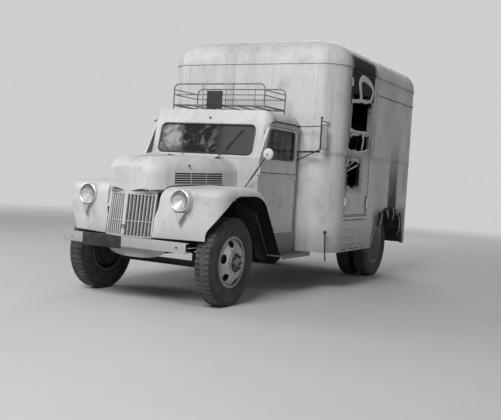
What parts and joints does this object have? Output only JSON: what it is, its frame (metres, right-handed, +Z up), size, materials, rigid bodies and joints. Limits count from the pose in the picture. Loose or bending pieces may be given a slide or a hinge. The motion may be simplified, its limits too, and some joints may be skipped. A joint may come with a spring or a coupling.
{
  "type": "box-bodied ambulance truck",
  "caption": "Old box-bodied ambulance truck with a rounded walk-in clinic box, opening doors and hood, steered front wheels and twin rear wheels; its left side is torn and burnt.",
  "frame": {"origin": "on the ground, at the middle of the whole truck's bounding box", "axes": "+X to the truck's own left, +Y to its rear, +Z up; the truck faces -Y"},
  "size_m": [2.542, 5.603, 3.15],
  "materials": {
    "body_paint": "weathered satin, grey dirt below",
    "bumper_paint": "scuffed satin",
    "underside_paint": "dusty matte",
    "rack_paint": "worn satin",
    "sign_paint": "matte",
    "wheel_paint": "dusty satin",
    "lamp_metal": "dull",
    "lamp_glass": "clear",
    "window_glass": "dark tint",
    "mirror_black": "satin",
    "engine_iron": "rough",
    "exhaust_steel": "rusted",
    "spring_steel": "rough",
    "seat_cover": "worn",
    "black_plastic": "matte",
    "floor_wood": "worn boards",
    "tyre_rubber": "dusty"
  },
  "bodies": {
    "truck": {"chassis_frame": "underside_paint", "front_axle": "underside_paint", "front_spring": "spring_steel", "rear_axle": "underside_paint", "rear_springs": "spring_steel", "engine_block": "engine_iron", "radiator": "underside_paint", "exhaust": "exhaust_steel", "bumper": "bumper_paint", "grille": "body_paint", "fender_left": "body_paint", "fender_right": "body_paint", "headlamps": "lamp_metal", "headlamp_lenses": "lamp_glass", "running_boards": "underside_paint", "cab_floor": "body_paint", "cab_cowl": "body_paint", "cab_back": "body_paint", "cab_roof": "body_paint", "cab_glass": "window_glass", "bench": "seat_cover", "steering_wheel": "black_plastic", "roof_rack": "rack_paint", "roof_sign": "sign_paint", "mirrors": "mirror_black", "box_floor": "floor_wood", "box_front_wall": "body_paint", "box_left_wall": "body_paint", "box_right_wall": "body_paint", "box_rear_wall": "body_paint", "box_roof": "body_paint"},
    "knuckle_left": {"knuckle_left": "underside_paint"},
    "knuckle_right": {"knuckle_right": "underside_paint"},
    "tie_rod": {"tie_rod": "underside_paint"},
    "wheel_front_left": {"tyre_front_left": "tyre_rubber", "disc_front_left": "wheel_paint"},
    "wheel_front_right": {"tyre_front_right": "tyre_rubber", "disc_front_right": "wheel_paint"},
    "wheels_rear_left": {"tyres_rear_left": "tyre_rubber", "discs_rear_left": "wheel_paint"},
    "wheels_rear_right": {"tyres_rear_right": "tyre_rubber", "discs_rear_right": "wheel_paint"},
    "hood": {"hood": "body_paint"},
    "cab_door_left": {"cab_door_left": "body_paint", "door_glass_left": "window_glass"},
    "cab_door_right": {"cab_door_right": "body_paint", "door_glass_right": "window_glass"},
    "side_door": {"side_door": "body_paint"},
    "step_flap": {"step_flap": "body_paint"},
    "rear_door_left": {"rear_door_left": "body_paint", "rear_glass_left": "window_glass"},
    "rear_door_right": {"rear_door_right": "body_paint", "rear_glass_right": "window_glass"}
  },
  "joints": [
    {"name": "steer_left", "type": "hinge", "parent": "truck", "child": "knuckle_left", "pos_m": [0.66, -2.1, 0.465], "axis": [0, 0, 1], "range_deg": [-30, 30]},
    {"name": "steer_right", "type": "hinge", "parent": "truck", "child": "knuckle_right", "pos_m": [-0.66, -2.1, 0.465], "axis": [0, 0, 1], "range_deg": [-30, 30]},
    {"name": "tie_rod_pivot", "type": "hinge", "parent": "knuckle_left", "child": "tie_rod", "pos_m": [0.66, -1.92, 0.352], "axis": [0, 0, 1], "range_deg": [-30, 30]},
    {"name": "front_left_spin", "type": "hinge", "parent": "knuckle_left", "child": "wheel_front_left", "pos_m": [0.812, -2.1, 0.465], "axis": [1, 0, 0], "continuous": true},
    {"name": "front_right_spin", "type": "hinge", "parent": "knuckle_right", "child": "wheel_front_right", "pos_m": [-0.812, -2.1, 0.465], "axis": [1, 0, 0], "continuous": true},
    {"name": "rear_left_spin", "type": "hinge", "parent": "truck", "child": "wheels_rear_left", "pos_m": [0.825, 1.913, 0.465], "axis": [1, 0, 0], "continuous": true},
    {"name": "rear_right_spin", "type": "hinge", "parent": "truck", "child": "wheels_rear_right", "pos_m": [-0.825, 1.913, 0.465], "axis": [1, 0, 0], "continuous": true},
    {"name": "hood_hinge", "type": "hinge", "parent": "truck", "child": "hood", "pos_m": [0, -1.539, 1.56], "axis": [-1, 0, 0], "range_deg": [0, 45]},
    {"name": "cab_door_left_hinge", "type": "hinge", "parent": "truck", "child": "cab_door_left", "pos_m": [0.809, -1.443, 1.2], "axis": [0, 0, -1], "range_deg": [0, 65]},
    {"name": "cab_door_right_hinge", "type": "hinge", "parent": "truck", "child": "cab_door_right", "pos_m": [-0.809, -1.443, 1.2], "axis": [0, 0, 1], "range_deg": [0, 65]},
    {"name": "side_door_hinge", "type": "hinge", "parent": "truck", "child": "side_door", "pos_m": [1.264, 0.047, 1.8], "axis": [0, 0, -1], "range_deg": [0, 100]},
    {"name": "step_flap_hinge", "type": "hinge", "parent": "truck", "child": "step_flap", "pos_m": [1.264, 0.47, 0.501], "axis": [0, 1, 0], "range_deg": [0, 90]},
    {"name": "rear_door_left_hinge", "type": "hinge", "parent": "truck", "child": "rear_door_left", "pos_m": [0.903, 2.782, 1.8], "axis": [0, 0, -1], "range_deg": [0, 105]},
    {"name": "rear_door_right_hinge", "type": "hinge", "parent": "truck", "child": "rear_door_right", "pos_m": [-0.903, 2.782, 1.8], "axis": [0, 0, 1], "range_deg": [0, 105]}
  ],
  "couplings": [
    {"joint": "steer_right", "follows": "steer_left", "ratio": 1},
    {"joint": "tie_rod_pivot", "follows": "steer_left", "ratio": -1}
  ]
}
